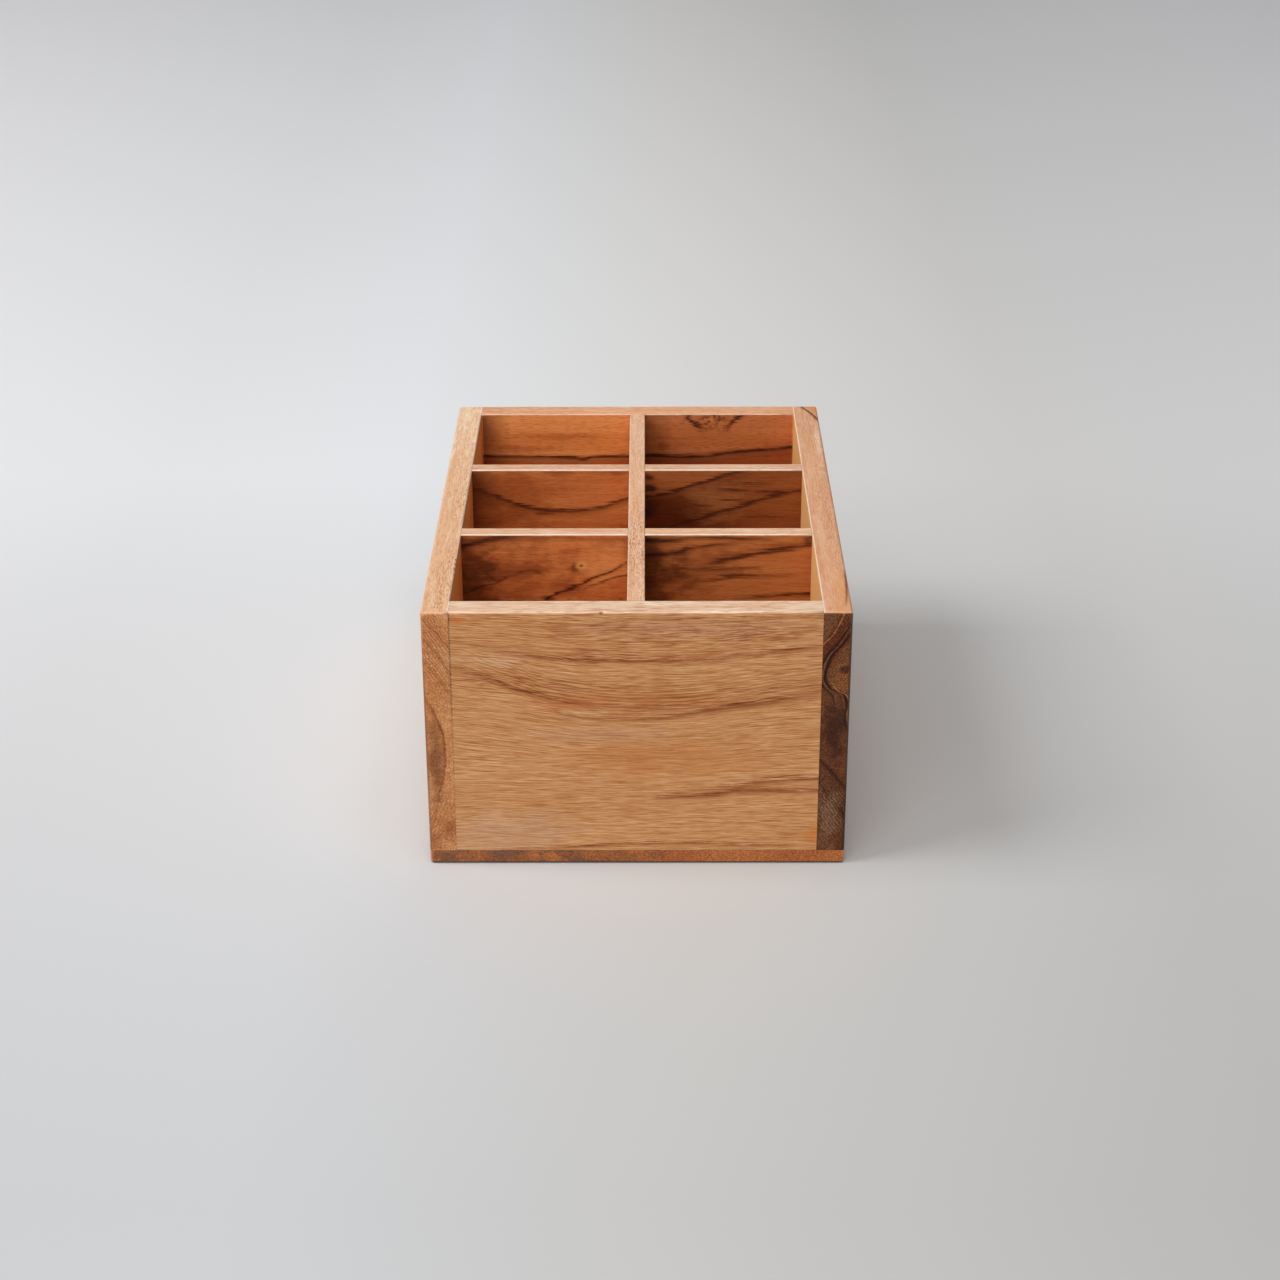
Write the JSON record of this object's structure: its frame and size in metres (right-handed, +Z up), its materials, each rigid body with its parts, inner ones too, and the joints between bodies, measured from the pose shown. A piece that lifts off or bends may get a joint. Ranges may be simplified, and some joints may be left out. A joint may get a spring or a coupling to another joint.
{
  "type": "amenity holder box",
  "caption": "Open-top teak box with lapped dividers that part it into cells for bathroom sachets, small bottles and toiletries.",
  "frame": {"origin": "centre of the underside of the bottom board, where the box stands", "axes": "+Z up, -Y to the front, +X to the right side; the box's longest side runs along Y"},
  "size_m": [0.15, 0.207, 0.1005],
  "materials": {
    "teak_left_side": "oiled teak, sanded, satin",
    "teak_right_side": "oiled teak, sanded, satin",
    "teak_front_panel": "oiled teak, sanded, satin",
    "teak_back_panel": "oiled teak, sanded, satin",
    "teak_bottom_board": "oiled teak, sanded, satin",
    "teak_centre_divider": "oiled teak, sanded, satin",
    "teak_cross_dividers": "oiled teak, sanded, satin",
    "beech_dowels": "turned beech, unfinished",
    "steel_screws": "bright zinc plate"
  },
  "bodies": {
    "root": {"left_side": "teak_left_side", "right_side": "teak_right_side", "front_panel": "teak_front_panel", "back_panel": "teak_back_panel", "bottom_board": "teak_bottom_board", "centre_divider": "teak_centre_divider", "front_cross_divider": "teak_cross_dividers", "rear_cross_divider": "teak_cross_dividers", "dowel_left_front_low": "beech_dowels", "dowel_left_front_middle": "beech_dowels", "dowel_left_front_high": "beech_dowels", "dowel_left_back_low": "beech_dowels", "dowel_left_back_middle": "beech_dowels", "dowel_left_back_high": "beech_dowels", "dowel_right_front_low": "beech_dowels", "dowel_right_front_middle": "beech_dowels", "dowel_right_front_high": "beech_dowels", "dowel_right_back_low": "beech_dowels", "dowel_right_back_middle": "beech_dowels", "dowel_right_back_high": "beech_dowels", "screw_left_front": "steel_screws", "screw_left_rear": "steel_screws", "screw_right_front": "steel_screws", "screw_right_rear": "steel_screws", "screw_front_left": "steel_screws", "screw_front_right": "steel_screws", "screw_back_left": "steel_screws", "screw_back_right": "steel_screws"}
  },
  "joints": []
}
